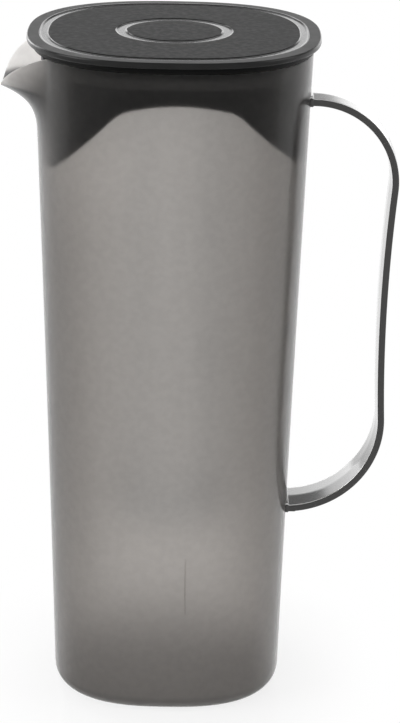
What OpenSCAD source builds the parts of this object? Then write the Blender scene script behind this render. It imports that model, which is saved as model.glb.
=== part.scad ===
// Fruit infuser pitcher: a tall jug with a squarish rounded plan and a wide pouring lip, a strap handle,
// a lift-off strainer lid and a slotted infuser basket that hangs from the lid in a bayonet socket.
// Millimetres. The origin is the centre of the base on the table, +Z is up, the lip points to -X
// and the handle to +X.

/* [Jug] */
// Height of the jug's rim above the table
rim_height = 275; // [250:1:300]
// Half width of the jug at its rim
rim_half = 55.8; // [53:0.1:60]
// Half width of the jug at its base
base_half = 48.6; // [46:0.1:52]
// How square the plan is at the rim, where 2 is a circle
rim_squareness = 2.5; // [2.3:0.05:3]
// How square the plan is at the base, where 2 is a circle
base_squareness = 2.65; // [2.3:0.05:3]
// How the wall leans out with height, where 1 is a straight taper
taper_power = 1.15; // [1:0.05:1.5]
// Thickness of the jug's wall
jug_wall = 2.2; // [1.6:0.1:3]
// Thickness of the jug's floor
jug_floor = 3.2; // [2:0.1:6]
// Radius of the rounded edge round the base
base_fillet = 4.6; // [3:0.1:7]

/* [Pouring lip] */
// How far the lip stands out beyond the rim
lip_reach = 14.3; // [8:0.1:18]
// Half width of the lip where it leaves the rim
lip_half_width = 33; // [26:0.5:38]
// How far the middle of the lip's edge dips below the rim
lip_dip = 17.2; // [8:0.1:22]
// Height of the flared zone below the rim
lip_depth = 38; // [30:1:60]
// How blunt the lip is seen from above
lip_bluntness = 5.5; // [3:0.5:8]
// How late the flare sets in on its way up
lip_flare = 3.7; // [2:0.1:5]

/* [Handle] */
// Drop of the strap's upper end below the rim
handle_drop = 21.3; // [18:0.1:40]
// Height of the strap's lower end above the table
handle_low = 76.8; // [50:0.1:100]
// Distance from the rim to the middle of the strap at its widest
handle_reach = 34.7; // [30:0.1:44]
// Radius of the strap's upper bend
upper_bend = 33.7; // [24:0.1:36]
// Radius of the strap's lower bend
lower_bend = 39.5; // [30:0.1:44]
// How much nearer to the jug the lower bend stays than the upper one
handle_lean = 1.6; // [0:0.1:4]
// Radius of the gentle hollow along the grip
grip_radius = 720; // [500:10:2000]
// Width of the strap
strap_width = 20; // [16:0.5:26]
// Thickness of the strap at its edges
strap_edge = 2.7; // [2.4:0.1:4]
// Height of the ridge along the middle of both faces
strap_ridge = 0.4; // [0.2:0.1:1]

/* [Handle brackets] */
// Height of the pad on the wall
pad_height = 4.2; // [3.8:0.1:8]
// Thickness of the pad
pad_thickness = 1; // [0.8:0.1:3]
// How far the pad stands past the strap at each side
pad_margin = 0.3; // [0.2:0.1:2]
// Length of the tongue that holds the strap's end
tongue_length = 3.4; // [2:0.1:6]
// Thickness of the tongue
tongue_thickness = 1.4; // [1:0.1:1.8]

/* [Lid] */
// How far the cover overhangs the rim
lid_overhang = 3; // [1.5:0.1:5]
// How square the cover's plan is, where 2 is a circle
lid_squareness = 2.45; // [2.3:0.05:3]
// Thickness of the cover
cover_thickness = 2.5; // [2:0.1:4]
// Width of the cover's edge outside the recess
cover_border = 5.3; // [3:0.1:9]
// Depth of the recess that holds the panel and the disc
recess_depth = 1.2; // [0.6:0.1:1.5]
// Width of the groove left open round the panel
groove_width = 3.5; // [2:0.1:6]
// Radius of the panel's round hole
ring_outer = 23.6; // [21:0.1:28]
// Width of the ring groove left open round the disc
ring_width = 4.7; // [2:0.1:7]

/* [Strainer skirt] */
// Height of the shoulder that sits on the rim
shoulder_height = 2.4; // [1.5:0.1:4]
// How far the shoulder stands past the rim
shoulder_overhang = 0.6; // [0:0.1:1.4]
// Thickness of the skirt
skirt_wall = 2; // [1.4:0.1:3]
// Depth of the skirt below the rim at the lip and at the handle
skirt_depth = 45; // [36:1:60]
// Drop of the arch's top below the rim
arch_drop = 14.1; // [9:0.1:18]
// How far the arch's middle lies towards the handle
arch_shift = 2.3; // [0:0.1:4]
// Half width of the arch where its top and its slopes would meet
arch_half = 20.7; // [17:0.1:26]
// Slope of the arch's sides in degrees
arch_slope = 48; // [42:1:52]
// Radius of the arch's upper corners
arch_round = 30; // [10:1:32]
// Number of strainer slots
strainer_count = 9; // [5:1:13]
// Width of a strainer slot
strainer_slot = 2.4; // [1.6:0.1:3]
// Distance between strainer slots
strainer_pitch = 4.6; // [3.6:0.1:6]
// Solid height kept above and below the strainer slots
strainer_margin = 6; // [4:0.5:12]

/* [Lid seal] */
// Height of the seal band
seal_height = 4; // [2:0.5:7]
// Drop of the seal's top below the rim
seal_drop = 3; // [1:0.5:5]
// Least thickness of the seal between the skirt and the wall
seal_thickness = 1; // [0.6:0.1:1.6]

/* [Infuser socket] */
// Wall thickness of the socket
socket_wall = 2; // [1.5:0.1:3]
// Depth of the socket below the cover
socket_depth = 16; // [10:0.5:24]
// Thickness of the socket's ledges
ledge_height = 2.5; // [1.5:0.1:4]
// Angle that each ledge spans
ledge_angle = 40; // [36:1:50]
// Play between a locked lug and its stop, in degrees
stop_play = 1; // [0.5:0.1:2]

/* [Infuser basket] */
// Outer radius of the basket
basket_radius = 20; // [17:0.1:24]
// Wall thickness of the basket
basket_wall = 1.6; // [1.2:0.1:2.4]
// Height of the basket's lower end above the table
infuser_low = 72; // [40:1:120]
// How far each bayonet lug stands out
lug_reach = 2; // [1.2:0.1:3]
// Height of a bayonet lug
lug_height = 2.5; // [1.5:0.1:4]
// Angle that each lug spans
lug_angle = 30; // [20:1:34]
// Number of slots round the basket
slot_count = 12; // [8:2:16]
// Number of rows of slots
slot_rows = 3; // [2:1:5]
// Width of a slot
slot_width = 3; // [2:0.1:4]
// Solid height between rows of slots
slot_bridge = 8; // [5:0.5:14]

/* [Infuser cap] */
// Thickness of the cap's disc
cap_disc = 2.4; // [1.6:0.1:4]
// Height of the spigot inside the basket
spigot_height = 10; // [7:0.5:16]
// Wall thickness of the spigot
spigot_wall = 1.6; // [1.2:0.1:2.4]
// Radius of the bayonet pegs
peg_radius = 1.4; // [1:0.1:2]
// Turn that frees the cap
cap_turn = 40; // [25:1:60]
// Number of drain slots in the disc
drain_count = 5; // [3:2:7]
// Distance between drain slots
drain_pitch = 5.5; // [4:0.1:7]

/* [Fits] */
// Gap between the skirt and the jug's wall
skirt_gap = 0.5; // [0.3:0.05:1]
// Gap between the seal and the jug's wall
seal_gap = 0.35; // [0.3:0.05:0.6]
// Gap between parts that turn or slide past each other
turn_gap = 0.4; // [0.3:0.05:0.6]
// Gap between faces that rest on each other
seat_gap = 0.1; // [0.05:0.05:0.2]
// Gap between fixed parts
fixed_gap = 0.03; // [0.02:0.01:0.1]

/* [Hidden] */

// Fineness of round and squarish outlines
$fn = 96;
plan_sides = 72;
jug_sides = 72;
fillet_steps = 5;
wall_steps = 4;
lip_steps = 10;
bend_steps = 14;
grip_steps = 6;
arch_steps = 10;

// Shares of the lip's form that set its look and have no size of their own
lip_edge_power = 2.25;
lip_ease = 1.15;

// Small overlap that makes cuts run clear through
cut = 1;

// Farthest that a bend of the strap starts behind a pad's face
bend_lap = 2;

smoke = [0.55, 0.54, 0.53];
strap_grey = [0.42, 0.41, 0.41];
gloss_black = [0.10, 0.10, 0.10];
matte_black = [0.27, 0.27, 0.27];
skirt_black = [0.13, 0.13, 0.13];
silicone = [0.18, 0.18, 0.19];
clear_plastic = [0.80, 0.83, 0.84];

// Levels and radii that follow from the sizes above
lip_start = rim_height - lip_depth;
inner_fillet = max(base_fillet - jug_wall, 1);
shoulder_low = rim_height + seat_gap;
cover_low = shoulder_low + shoulder_height;
lid_top = cover_low + cover_thickness;
recess_low = lid_top - recess_depth;
lid_half = rim_half + lid_overhang;
recess_half = lid_half - cover_border;
skirt_low = rim_height - skirt_depth;
seal_top = rim_height - seal_drop;
seal_low = seal_top - seal_height;
seal_half = free_half(seal_low) - seal_gap;
skirt_half = min(free_half(skirt_low) - skirt_gap, seal_half - seal_thickness - fixed_gap);
lug_radius = basket_radius + lug_reach;
socket_bore = lug_radius + turn_gap;
socket_low = cover_low - socket_depth;
ledge_top = socket_low + ledge_height;
lug_low = ledge_top + seat_gap;
basket_bore = basket_radius - basket_wall;
basket_low = infuser_low + cap_disc + turn_gap;
basket_top = cover_low - cut;
lug_count = 3;
spigot_radius = basket_bore - turn_gap;
peg_level = infuser_low + cap_disc + spigot_height - peg_radius - cut;
handle_high = rim_height - handle_drop;

// Direction of each bayonet lug, peg and ledge
function lug_turn(i) = 360 * (i + 0.5) / lug_count;

// Half width of the jug's outside at a height
function jug_half(z) = base_half + (rim_half - base_half) * pow(max(z, 0) / rim_height, taper_power);

// Widest half width inside the jug that lifts out from a height
function free_half(z) = min(jug_half(z), rim_half) - jug_wall;

// Squareness of the jug's plan at a height
function squareness(z) = base_squareness + (rim_squareness - base_squareness) * z / rim_height;

// Point of a squarish rounded outline in the direction a: a superellipse of power n
function plan_point(half, n, a) =
    half * pow(pow(abs(cos(a)), n) + pow(abs(sin(a)), n), -1 / n) * [cos(a), sin(a)];

// Distance that the lip stands out, and the dip of its edge, at a place y across it
function lip_share(y) = min(abs(y) / lip_half_width, 1);
function lip_out(y) = lip_reach * pow(1 - pow(lip_share(y), lip_bluntness), lip_ease);
function lip_fall(y) = lip_dip * pow(1 - pow(lip_share(y), lip_edge_power), lip_ease);

directions = [for (i = [0 : jug_sides - 1]) 360 * i / jug_sides];

// Ring of the jug's shell at a height, set in from the outside by inset
function wall_ring(z, inset) = [
    for (a = directions)
        let (p = plan_point(jug_half(z) - inset, squareness(z), a))
        [p.x, p.y, z]
];

// Ring of the flared zone at a share u of the way from its start to the edge
function lip_ring(u, inset) = [
    for (a = directions)
        let (
            rim = plan_point(rim_half - inset, rim_squareness, a),
            at_lip = rim.x < 0,
            edge = rim_height - (at_lip ? lip_fall(rim.y) : 0),
            z = lip_start + (edge - lip_start) * u,
            p = plan_point(jug_half(z) - inset, squareness(z), a),
            out = at_lip ? lip_out(rim.y) * pow(u, lip_flare) : 0
        )
        [p.x - out, p.y, z]
];

// Rounded edge between floor and wall, from the floor up
function fillet_rings(low, radius, inset) = [
    for (i = [0 : fillet_steps])
        let (t = 90 * i / fillet_steps)
        wall_ring(low + radius * (1 - cos(t)), inset + radius * (1 - sin(t)))
];

function straight_rings(low, inset) = [
    for (i = [1 : wall_steps]) wall_ring(low + (lip_start - low) * i / wall_steps, inset)
];

function flared_rings(inset) = [for (i = [1 : lip_steps]) lip_ring(i / lip_steps, inset)];

function reversed(list) = [for (i = [len(list) - 1 : -1 : 0]) list[i]];

// Closed solid through a row of rings, capped at its first and last ring
module ringed_solid(rings) {
    sides = len(rings[0]);
    last = (len(rings) - 1) * sides;
    points = [for (ring = rings) each ring];
    skin = [
        for (r = [0 : len(rings) - 2], c = [0 : sides - 1])
            let (
                a = r * sides + c,
                b = r * sides + (c + 1) % sides
            )
            each [[a, a + sides, b], [b, a + sides, b + sides]]
    ];
    first_cap = [for (c = [0 : sides - 1]) c];
    last_cap = [for (c = [sides - 1 : -1 : 0]) last + c];
    polyhedron(points, concat(skin, [first_cap], [last_cap]), convexity = 6);
}

// Flat squarish outline
module plan(half, n) {
    polygon([for (i = [0 : plan_sides - 1]) plan_point(half, n, 360 * i / plan_sides)]);
}

// Upright plate of a squarish outline between two heights
module plate(half, n, low, high) {
    translate([0, 0, low])
        linear_extrude(high - low) plan(half, n);
}

// Part of a ring about Z, centred on the direction +X
module ring_sector(inner, outer, low, high, angle) {
    translate([0, 0, low])
        rotate([0, 0, -angle / 2])
            rotate_extrude(angle = angle)
                translate([inner, 0]) square([outer - inner, high - low]);
}

// Round tube about Z between two heights
module tube(outer, inner, low, high) {
    translate([0, 0, low])
        difference() {
            cylinder(r = outer, h = high - low);
            translate([0, 0, -cut]) cylinder(r = inner, h = high - low + 2 * cut);
        }
}

// Upright slot with round ends that cuts along X
module slot(width, low, high, length) {
    radius = width / 2;
    rotate([90, 0, 90])
        linear_extrude(length, center = true) {
            translate([-radius, low + radius]) square([width, high - low - width]);
            for (z = [low + radius, high - radius]) translate([0, z]) circle(r = radius);
        }
}

// Side outline in X and Z, drawn flat and stood up across the whole width in Y
module across(width) {
    rotate([90, 0, 0]) linear_extrude(width, center = true) children();
}

module jug_body() {
    outside = concat(
        [[for (p = wall_ring(0, base_fillet)) [p.x, p.y, -cut]]],
        fillet_rings(0, base_fillet, 0),
        straight_rings(base_fillet, 0),
        flared_rings(0)
    );
    inside = concat(
        fillet_rings(jug_floor, inner_fillet, jug_wall),
        straight_rings(jug_floor + inner_fillet, jug_wall),
        flared_rings(jug_wall)
    );
    size = 4 * rim_half;
    color(smoke)
        difference() {
            ringed_solid(concat(outside, reversed(inside)));
            translate([-size / 2, -size / 2, -2 * cut]) cube([size, size, 2 * cut]);
        }
}

// The strap runs through an upper bend, a gently hollow grip and a lower bend, each tangent to the next.
// A bend starts at its pad, at most bend_lap behind the pad's face.
upper_face = pad_face(handle_high);
lower_face = pad_face(handle_low);
upper_reach = rim_half + handle_reach;
lower_reach = upper_reach - handle_lean;
upper_radius = min(upper_bend, upper_reach - upper_face + bend_lap);
lower_radius = min(lower_bend, lower_reach - lower_face + bend_lap);
upper_centre = [upper_reach - upper_radius, handle_high - upper_radius];
lower_centre = [lower_reach - lower_radius, handle_low + lower_radius];
bend_span = norm(upper_centre - lower_centre);
bend_down = (lower_centre - upper_centre) / bend_span;
bend_out = [-bend_down.y, bend_down.x];
upper_sum = grip_radius + upper_radius;
lower_sum = grip_radius + lower_radius;
along = (upper_sum * upper_sum - lower_sum * lower_sum + bend_span * bend_span) / (2 * bend_span);
grip_centre = upper_centre + along * bend_down + sqrt(upper_sum * upper_sum - along * along) * bend_out;
upper_angle = atan2(grip_centre.y - upper_centre.y, grip_centre.x - upper_centre.x);
lower_angle = atan2(grip_centre.y - lower_centre.y, grip_centre.x - lower_centre.x);

// Outer face of a bracket's pad whose middle is at a height
function pad_face(z) = jug_half(z + pad_height / 2) + fixed_gap + pad_thickness;

// Points along the strap's middle, each with the direction that its outer face looks to
function bend_path(centre, radius, from, to) = [
    for (i = [0 : bend_steps])
        let (a = from + (to - from) * i / bend_steps)
        [centre + radius * [cos(a), sin(a)], a]
];

function grip_path() = [
    for (i = [1 : grip_steps - 1])
        let (a = upper_angle + (lower_angle - upper_angle) * i / grip_steps)
        [grip_centre - grip_radius * [cos(a), sin(a)], a]
];

strap_path = concat(
    [[[min(upper_face, upper_centre.x) - cut, handle_high], 90]],
    bend_path(upper_centre, upper_radius, 90, upper_angle),
    grip_path(),
    bend_path(lower_centre, lower_radius, lower_angle, -90),
    [[[min(lower_face, lower_centre.x) - cut, handle_low], -90]]
);

// Section of the strap as steps outwards and across: flat edges, with a low ridge along both faces
strap_section = [
    [-strap_edge / 2, -strap_width / 2],
    [strap_edge / 2, -strap_width / 2],
    [strap_edge / 2 + strap_ridge, 0],
    [strap_edge / 2, strap_width / 2],
    [-strap_edge / 2, strap_width / 2],
    [-strap_edge / 2 - strap_ridge, 0]
];

strap_rings = [
    for (place = strap_path) [
        for (step = strap_section)
            [place[0].x + step[0] * cos(place[1]), step[1], place[0].y + step[0] * sin(place[1])]
    ]
];

// Side outline of a tongue that starts at a pad's face, grown by gap
module tongue_outline(face, z, gap) {
    radius = tongue_thickness / 2 + gap;
    straight = tongue_length - tongue_thickness / 2;
    translate([face - cut, z - radius]) square([straight + cut, 2 * radius]);
    translate([face + straight, z]) circle(r = radius);
}

module handle() {
    room = 4 * strap_width;
    color(strap_grey)
        difference() {
            ringed_solid(strap_rings);
            translate([upper_face + fixed_gap - room, -room / 2, handle_high - room / 2]) cube(room);
            translate([lower_face + fixed_gap - room, -room / 2, handle_low - room / 2]) cube(room);
            across(room) tongue_outline(upper_face, handle_high, fixed_gap);
            across(room) tongue_outline(lower_face, handle_low, fixed_gap);
        }
}

// Pad on the wall with the tongue that the strap's end is pushed onto
module bracket(z) {
    face = pad_face(z);
    color(strap_grey)
        union() {
            translate([face - pad_thickness, -strap_width / 2 - pad_margin, z - pad_height / 2])
                cube([pad_thickness, strap_width + 2 * pad_margin, pad_height]);
            across(strap_width) tongue_outline(face, z, 0);
        }
}

module handle_upper_bracket() {
    bracket(handle_high);
}

module handle_lower_bracket() {
    bracket(handle_low);
}

module lid_cover() {
    color(gloss_black)
        difference() {
            plate(lid_half, lid_squareness, cover_low, lid_top);
            plate(recess_half, lid_squareness, recess_low, lid_top + cut);
        }
}

module lid_panel() {
    color(matte_black)
        difference() {
            plate(recess_half - groove_width, lid_squareness, recess_low, lid_top);
            translate([0, 0, recess_low - cut]) cylinder(r = ring_outer, h = recess_depth + 2 * cut);
        }
}

module lid_disc() {
    color(matte_black)
        translate([0, 0, recess_low]) cylinder(r = ring_outer - ring_width, h = recess_depth);
}

// Side outline of the space under the skirt's arch, with rounded upper corners
module arch_outline() {
    top = rim_height - arch_drop;
    foot = skirt_low - cut;
    corner_x = arch_half - arch_round * tan(arch_slope / 2);
    corner = [
        for (i = [0 : arch_steps])
            let (a = 90 - arch_slope * i / arch_steps)
            [corner_x + arch_round * cos(a), top - arch_round + arch_round * sin(a)]
    ];
    foot_x = arch_half + (top - foot) / tan(arch_slope);
    right = concat(corner, [[foot_x, foot]]);
    polygon(concat(right, [for (p = reversed(right)) [-p.x, p.y]]));
}

module lid_skirt() {
    slots_low = skirt_low + strainer_margin;
    slots_high = rim_height - arch_drop - strainer_margin / 2;
    first = -(strainer_count - 1) / 2 * strainer_pitch;
    color(skirt_black)
        difference() {
            union() {
                plate(rim_half + shoulder_overhang, lid_squareness, shoulder_low, cover_low);
                plate(skirt_half, rim_squareness, skirt_low, cover_low);
            }
            plate(skirt_half - skirt_wall, rim_squareness, skirt_low - cut, cover_low + cut);
            translate([arch_shift, 0, 0]) across(4 * rim_half) arch_outline();
            for (i = [0 : strainer_count - 1])
                translate([-skirt_half, first + i * strainer_pitch, 0])
                    slot(strainer_slot, slots_low, slots_high, skirt_half / 2);
        }
}

module lid_seal() {
    color(silicone)
        difference() {
            plate(seal_half, rim_squareness, seal_low, seal_top);
            plate(skirt_half + fixed_gap, rim_squareness, seal_low - cut, seal_top + cut);
        }
}

module infuser_socket() {
    inner = basket_radius + turn_gap;
    stop_angle = (ledge_angle - lug_angle) / 2 - 2 * stop_play;
    color(skirt_black)
        union() {
            tube(socket_bore + socket_wall, socket_bore, socket_low, cover_low);
            for (i = [0 : lug_count - 1])
                rotate([0, 0, lug_turn(i)]) {
                    ring_sector(inner, socket_bore + socket_wall / 2, socket_low, ledge_top, ledge_angle);
                    rotate([0, 0, -(ledge_angle - stop_angle) / 2 + stop_play])
                        ring_sector(inner + turn_gap, socket_bore + socket_wall / 3,
                            ledge_top - cut, ledge_top + lug_height, stop_angle);
                }
        }
}

module infuser_basket() {
    slots_low = peg_level + peg_radius + slot_bridge;
    slots_high = socket_low - slot_bridge;
    row = (slots_high - slots_low + slot_bridge) / slot_rows;
    peg_room = peg_radius + turn_gap;
    peg_half_angle = asin(peg_room / (basket_bore - cut));
    color(clear_plastic)
        difference() {
            union() {
                tube(basket_radius, basket_bore, basket_low, basket_top);
                for (i = [0 : lug_count - 1])
                    rotate([0, 0, lug_turn(i)])
                        ring_sector(basket_radius - basket_wall / 2, lug_radius,
                            lug_low, lug_low + lug_height, lug_angle);
            }
            for (i = [0 : slot_count - 1], r = [0 : slot_rows - 1])
                rotate([0, 0, 360 * (i + 0.5) / slot_count])
                    translate([basket_radius - basket_wall / 2, 0, 0])
                        slot(slot_width, slots_low + r * row, slots_low + (r + 1) * row - slot_bridge,
                            basket_wall + 4 * cut);
            for (i = [0 : lug_count - 1])
                rotate([0, 0, lug_turn(i)]) {
                    rotate([0, 0, cap_turn / 2])
                        ring_sector(basket_bore - cut, basket_radius + cut,
                            peg_level - peg_room, peg_level + peg_room, cap_turn + 2 * peg_half_angle);
                    rotate([0, 0, cap_turn])
                        translate([basket_bore - cut, -peg_room, basket_low - cut])
                            cube([basket_wall + 2 * cut, 2 * peg_room, peg_level - basket_low + cut]);
                }
        }
}

module infuser_cap() {
    disc_top = infuser_low + cap_disc;
    bore = spigot_radius - spigot_wall;
    peg_length = basket_radius - turn_gap - spigot_radius + spigot_wall / 2;
    color(clear_plastic)
        difference() {
            union() {
                translate([0, 0, infuser_low]) cylinder(r = basket_radius, h = cap_disc);
                tube(spigot_radius, bore, disc_top - cap_disc / 2, disc_top + spigot_height);
                for (i = [0 : lug_count - 1])
                    rotate([0, 0, lug_turn(i)])
                        translate([spigot_radius - spigot_wall / 2, 0, peg_level])
                            rotate([0, 90, 0]) cylinder(r = peg_radius, h = peg_length);
            }
            for (i = [-(drain_count - 1) / 2 : (drain_count - 1) / 2]) {
                y = i * drain_pitch;
                half = sqrt(bore * bore - y * y) - cut;
                translate([-half, y - slot_width / 2, infuser_low - cut])
                    cube([2 * half, slot_width, cap_disc + 2 * cut]);
            }
        }
}

jug_body();
handle();
handle_upper_bracket();
handle_lower_bracket();
lid_cover();
lid_panel();
lid_disc();
lid_skirt();
lid_seal();
infuser_socket();
infuser_basket();
infuser_cap();
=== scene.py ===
"""Looks of a fruit infuser pitcher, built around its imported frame.

Sizes are in millimetres and angles in degrees, in the part's own frame: Z up from the surface that it stands
on, -X towards the pouring lip, +X towards the handle and -Y towards the viewer. Meshes go into the scene in
metres.
"""

import logging
import math
from dataclasses import dataclass
from enum import Enum

import bmesh
import bpy
import numpy as np
from mathutils import Matrix, Vector


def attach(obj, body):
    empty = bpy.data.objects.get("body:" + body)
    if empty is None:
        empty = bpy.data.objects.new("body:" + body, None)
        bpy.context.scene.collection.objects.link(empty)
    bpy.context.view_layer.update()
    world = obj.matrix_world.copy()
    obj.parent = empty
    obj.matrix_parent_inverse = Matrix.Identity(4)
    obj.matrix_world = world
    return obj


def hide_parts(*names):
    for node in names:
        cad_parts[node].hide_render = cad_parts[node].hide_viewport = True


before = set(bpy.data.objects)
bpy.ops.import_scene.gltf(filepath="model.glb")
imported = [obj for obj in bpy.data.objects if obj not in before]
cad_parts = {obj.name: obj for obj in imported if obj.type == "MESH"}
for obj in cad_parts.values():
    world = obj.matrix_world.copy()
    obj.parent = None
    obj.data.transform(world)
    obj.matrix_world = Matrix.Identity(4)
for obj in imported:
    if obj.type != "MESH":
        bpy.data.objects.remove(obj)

LOG = logging.getLogger("pitcher")
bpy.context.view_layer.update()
MM = 0.001
WELD_METRES = 1e-7
SOFT_ANGLE = 40.0
CRISP_ANGLE = 30.0
CIRCLE = 2.0
CLOUD_MIDDLE = 0.5
CLOUD_WIDTH = 0.4
CLOUD_DETAIL = 3.0
GRAIN_DETAIL = 1.5
MIX_SHARE, MIX_FIRST, MIX_SECOND, MIX_RESULT = 0, 6, 7, 2
WHITE = (1.0, 1.0, 1.0, 1.0)
BLACK = (0.0, 0.0, 0.0, 1.0)

Array = np.ndarray
Rows = np.ndarray | float
Material = bpy.types.Material
Colour = tuple[float, float, float]
Paint = tuple[float, float, float, float]
Point = tuple[float, float, float]
Span = tuple[float, float]


class Body(Enum):
    """Bodies of the frame that pieces ride on."""

    JUG = "jug"
    LID = "lid"
    INFUSER = "infuser"
    CAP = "cap"


class Value:
    """Output of a shader node that adds Math nodes when it is used in an expression."""

    def __init__(self, shader: "Shader", socket: bpy.types.NodeSocket) -> None:
        """Wraps a node's output socket."""
        self.shader = shader
        self.socket = socket

    def _math(self, operation: str, first: "Value | float", second: "Value | float") -> "Value":
        """Adds one Math node of two values."""
        return self.shader.node("ShaderNodeMath", {"operation": operation}, {0: first, 1: second})

    def __add__(self, other: "Value | float") -> "Value":
        """Sum with a value or a number."""
        return self._math("ADD", self, other)

    __radd__ = __add__

    def __sub__(self, other: "Value | float") -> "Value":
        """Difference from a value or a number."""
        return self._math("SUBTRACT", self, other)

    def __rsub__(self, other: float) -> "Value":
        """Number less this value."""
        return self._math("SUBTRACT", other, self)

    def __mul__(self, other: "Value | float") -> "Value":
        """Product with a value or a number."""
        return self._math("MULTIPLY", self, other)

    __rmul__ = __mul__

    def __pow__(self, other: float) -> "Value":
        """Power of this value."""
        return self._math("POWER", self, other)

    def __abs__(self) -> "Value":
        """Size of the value without its sign."""
        return self._math("ABSOLUTE", self, 0.0)

    def over(self, limit: float, width: float) -> "Value":
        """Smooth step from 0 to 1 as the value rises past a limit, spread over a width."""
        sockets = {"Value": self, "From Min": limit - width / 2, "From Max": limit + width / 2}
        return self.shader.node("ShaderNodeMapRange", {"interpolation_type": "SMOOTHSTEP"}, sockets)

    def between(self, low: float, high: float, width: float) -> "Value":
        """1 between two limits and 0 outside them, with smooth steps of a width."""
        return self.over(low, width) - self.over(high, width)

    def most(self, other: "Value | float") -> "Value":
        """Larger of this value and another."""
        return self._math("MAXIMUM", self, other)


class Shader:
    """Node tree of a material or of the world, written as expressions."""

    def __init__(self, owner: Material | bpy.types.World) -> None:
        """Empties the owner's node tree and keeps it.

        Args:
            owner: Material or world that is dressed.
        """
        owner.use_nodes = True
        self.tree = owner.node_tree
        self.tree.nodes.clear()

    def node(
        self, kind: str, settings: dict | None = None, sockets: dict | None = None, out: str | int = 0,
    ) -> Value | None:
        """Adds a node, with its settings first and its sockets after them.

        Args:
            kind: Type name of the node.
            settings: Attributes of the node.
            sockets: Values, colours or links by the name or number of an input.
            out: Name or number of the output that is wrapped.

        Returns:
            The wrapped output, or None for a node that has none.
        """
        node = self.tree.nodes.new(kind)
        for name, setting in (settings or {}).items():
            setattr(node, name, setting)
        for key, given in (sockets or {}).items():
            if isinstance(given, Value):
                self.tree.links.new(given.socket, node.inputs[key])
            else:
                node.inputs[key].default_value = given
        return Value(self, node.outputs[out]) if node.outputs else None

    def axes(self, place: str) -> list[Value]:
        """X, Y and Z of a kind of texture coordinate."""
        point = self.node("ShaderNodeTexCoord", out=place)
        return [self.node("ShaderNodeSeparateXYZ", {}, {"Vector": point}, axis) for axis in "XYZ"]

    def noise(self, size: float, detail: float) -> Value:
        """Cloudy noise in object space.

        Args:
            size: Size of a cloud.
            detail: Number of finer layers.

        Returns:
            The noise, about 0.5 on average.
        """
        place = self.node("ShaderNodeTexCoord", out="Object")
        sockets = {"Vector": place, "Scale": 1 / (size * MM), "Detail": detail}
        return self.node("ShaderNodeTexNoise", {}, sockets, "Fac")

    def mix(self, share: Value, first: Value | Paint, second: Value | Paint) -> Value:
        """Colour between two colours, with a share of the second."""
        sockets = {MIX_SHARE: share, MIX_FIRST: first, MIX_SECOND: second}
        return self.node("ShaderNodeMix", {"data_type": "RGBA"}, sockets, MIX_RESULT)


@dataclass(frozen=True)
class Plastic:
    """Finish of a moulded plastic: its colour, gloss and grain.

    Attributes:
        name: Name of the material.
        colour: Colour of the plastic.
        mottle: Share by which the colour drifts.
        mottle_size: Size of the drift's clouds.
        roughness: Roughness of the surface.
        roughness_drift: Amount by which the roughness drifts.
        grain_size: Size of the moulded grain.
        grain_depth: Depth of the grain.
        ior: Index of refraction.
        transmission: Share of light that goes through.
        specular: Level of the plain reflection.
        coat: Weight of a clear gloss over the grain.
        coat_roughness: Roughness of that gloss.
        coat_ior: Index of refraction of that gloss.
        density: Absorption inside the plastic per millimetre.
        tint: Colour that light keeps inside the plastic.
    """

    name: str
    colour: Colour
    mottle: float
    mottle_size: float
    roughness: float
    roughness_drift: float
    grain_size: float
    grain_depth: float
    ior: float = 1.46
    transmission: float = 0.0
    specular: float = 0.5
    coat: float = 0.0
    coat_roughness: float = 0.08
    coat_ior: float = 1.5
    density: float = 0.0
    tint: Colour = (0.5, 0.5, 0.5)

    def shade(self, share: float) -> Paint:
        """Colour scaled by a share, with full alpha."""
        return (*(share * c for c in self.colour), 1.0)

    def look(self, shader: Shader) -> tuple[Value, Value]:
        """Colour and roughness over the surface: both drift with the same slow clouds.

        Args:
            shader: Node tree of the material.

        Returns:
            The colour and the roughness.
        """
        clouds = shader.noise(self.mottle_size, CLOUD_DETAIL).over(CLOUD_MIDDLE, CLOUD_WIDTH)
        colour = shader.mix(clouds, self.shade(1 - self.mottle), self.shade(1 + self.mottle))
        return colour, self.roughness + (clouds - CLOUD_MIDDLE) * self.roughness_drift

    def material(self) -> Material:
        """Builds the material: its colour and roughness, with a fine noise that stands out as moulded grain.

        Returns:
            The material.
        """
        made = bpy.data.materials.new(self.name)
        shader = Shader(made)
        colour, rough = self.look(shader)
        grain = shader.noise(self.grain_size, GRAIN_DETAIL)
        height = {"Height": grain, "Strength": 1.0, "Distance": self.grain_depth * MM}
        normal = shader.node("ShaderNodeBump", {}, height)
        surface = shader.node("ShaderNodeBsdfPrincipled", {}, {
            "Base Color": colour,
            "Roughness": rough,
            "Normal": normal,
            "IOR": self.ior,
            "Transmission Weight": self.transmission,
            "Specular IOR Level": self.specular,
            "Coat Weight": self.coat,
            "Coat Roughness": self.coat_roughness,
            "Coat IOR": self.coat_ior,
        })
        ends = {"Surface": surface}
        if self.density:
            inside = {"Color": (*self.tint, 1.0), "Density": self.density / MM}
            ends["Volume"] = shader.node("ShaderNodeVolumeAbsorption", {}, inside)
        shader.node("ShaderNodeOutputMaterial", {}, ends)
        return made


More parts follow.
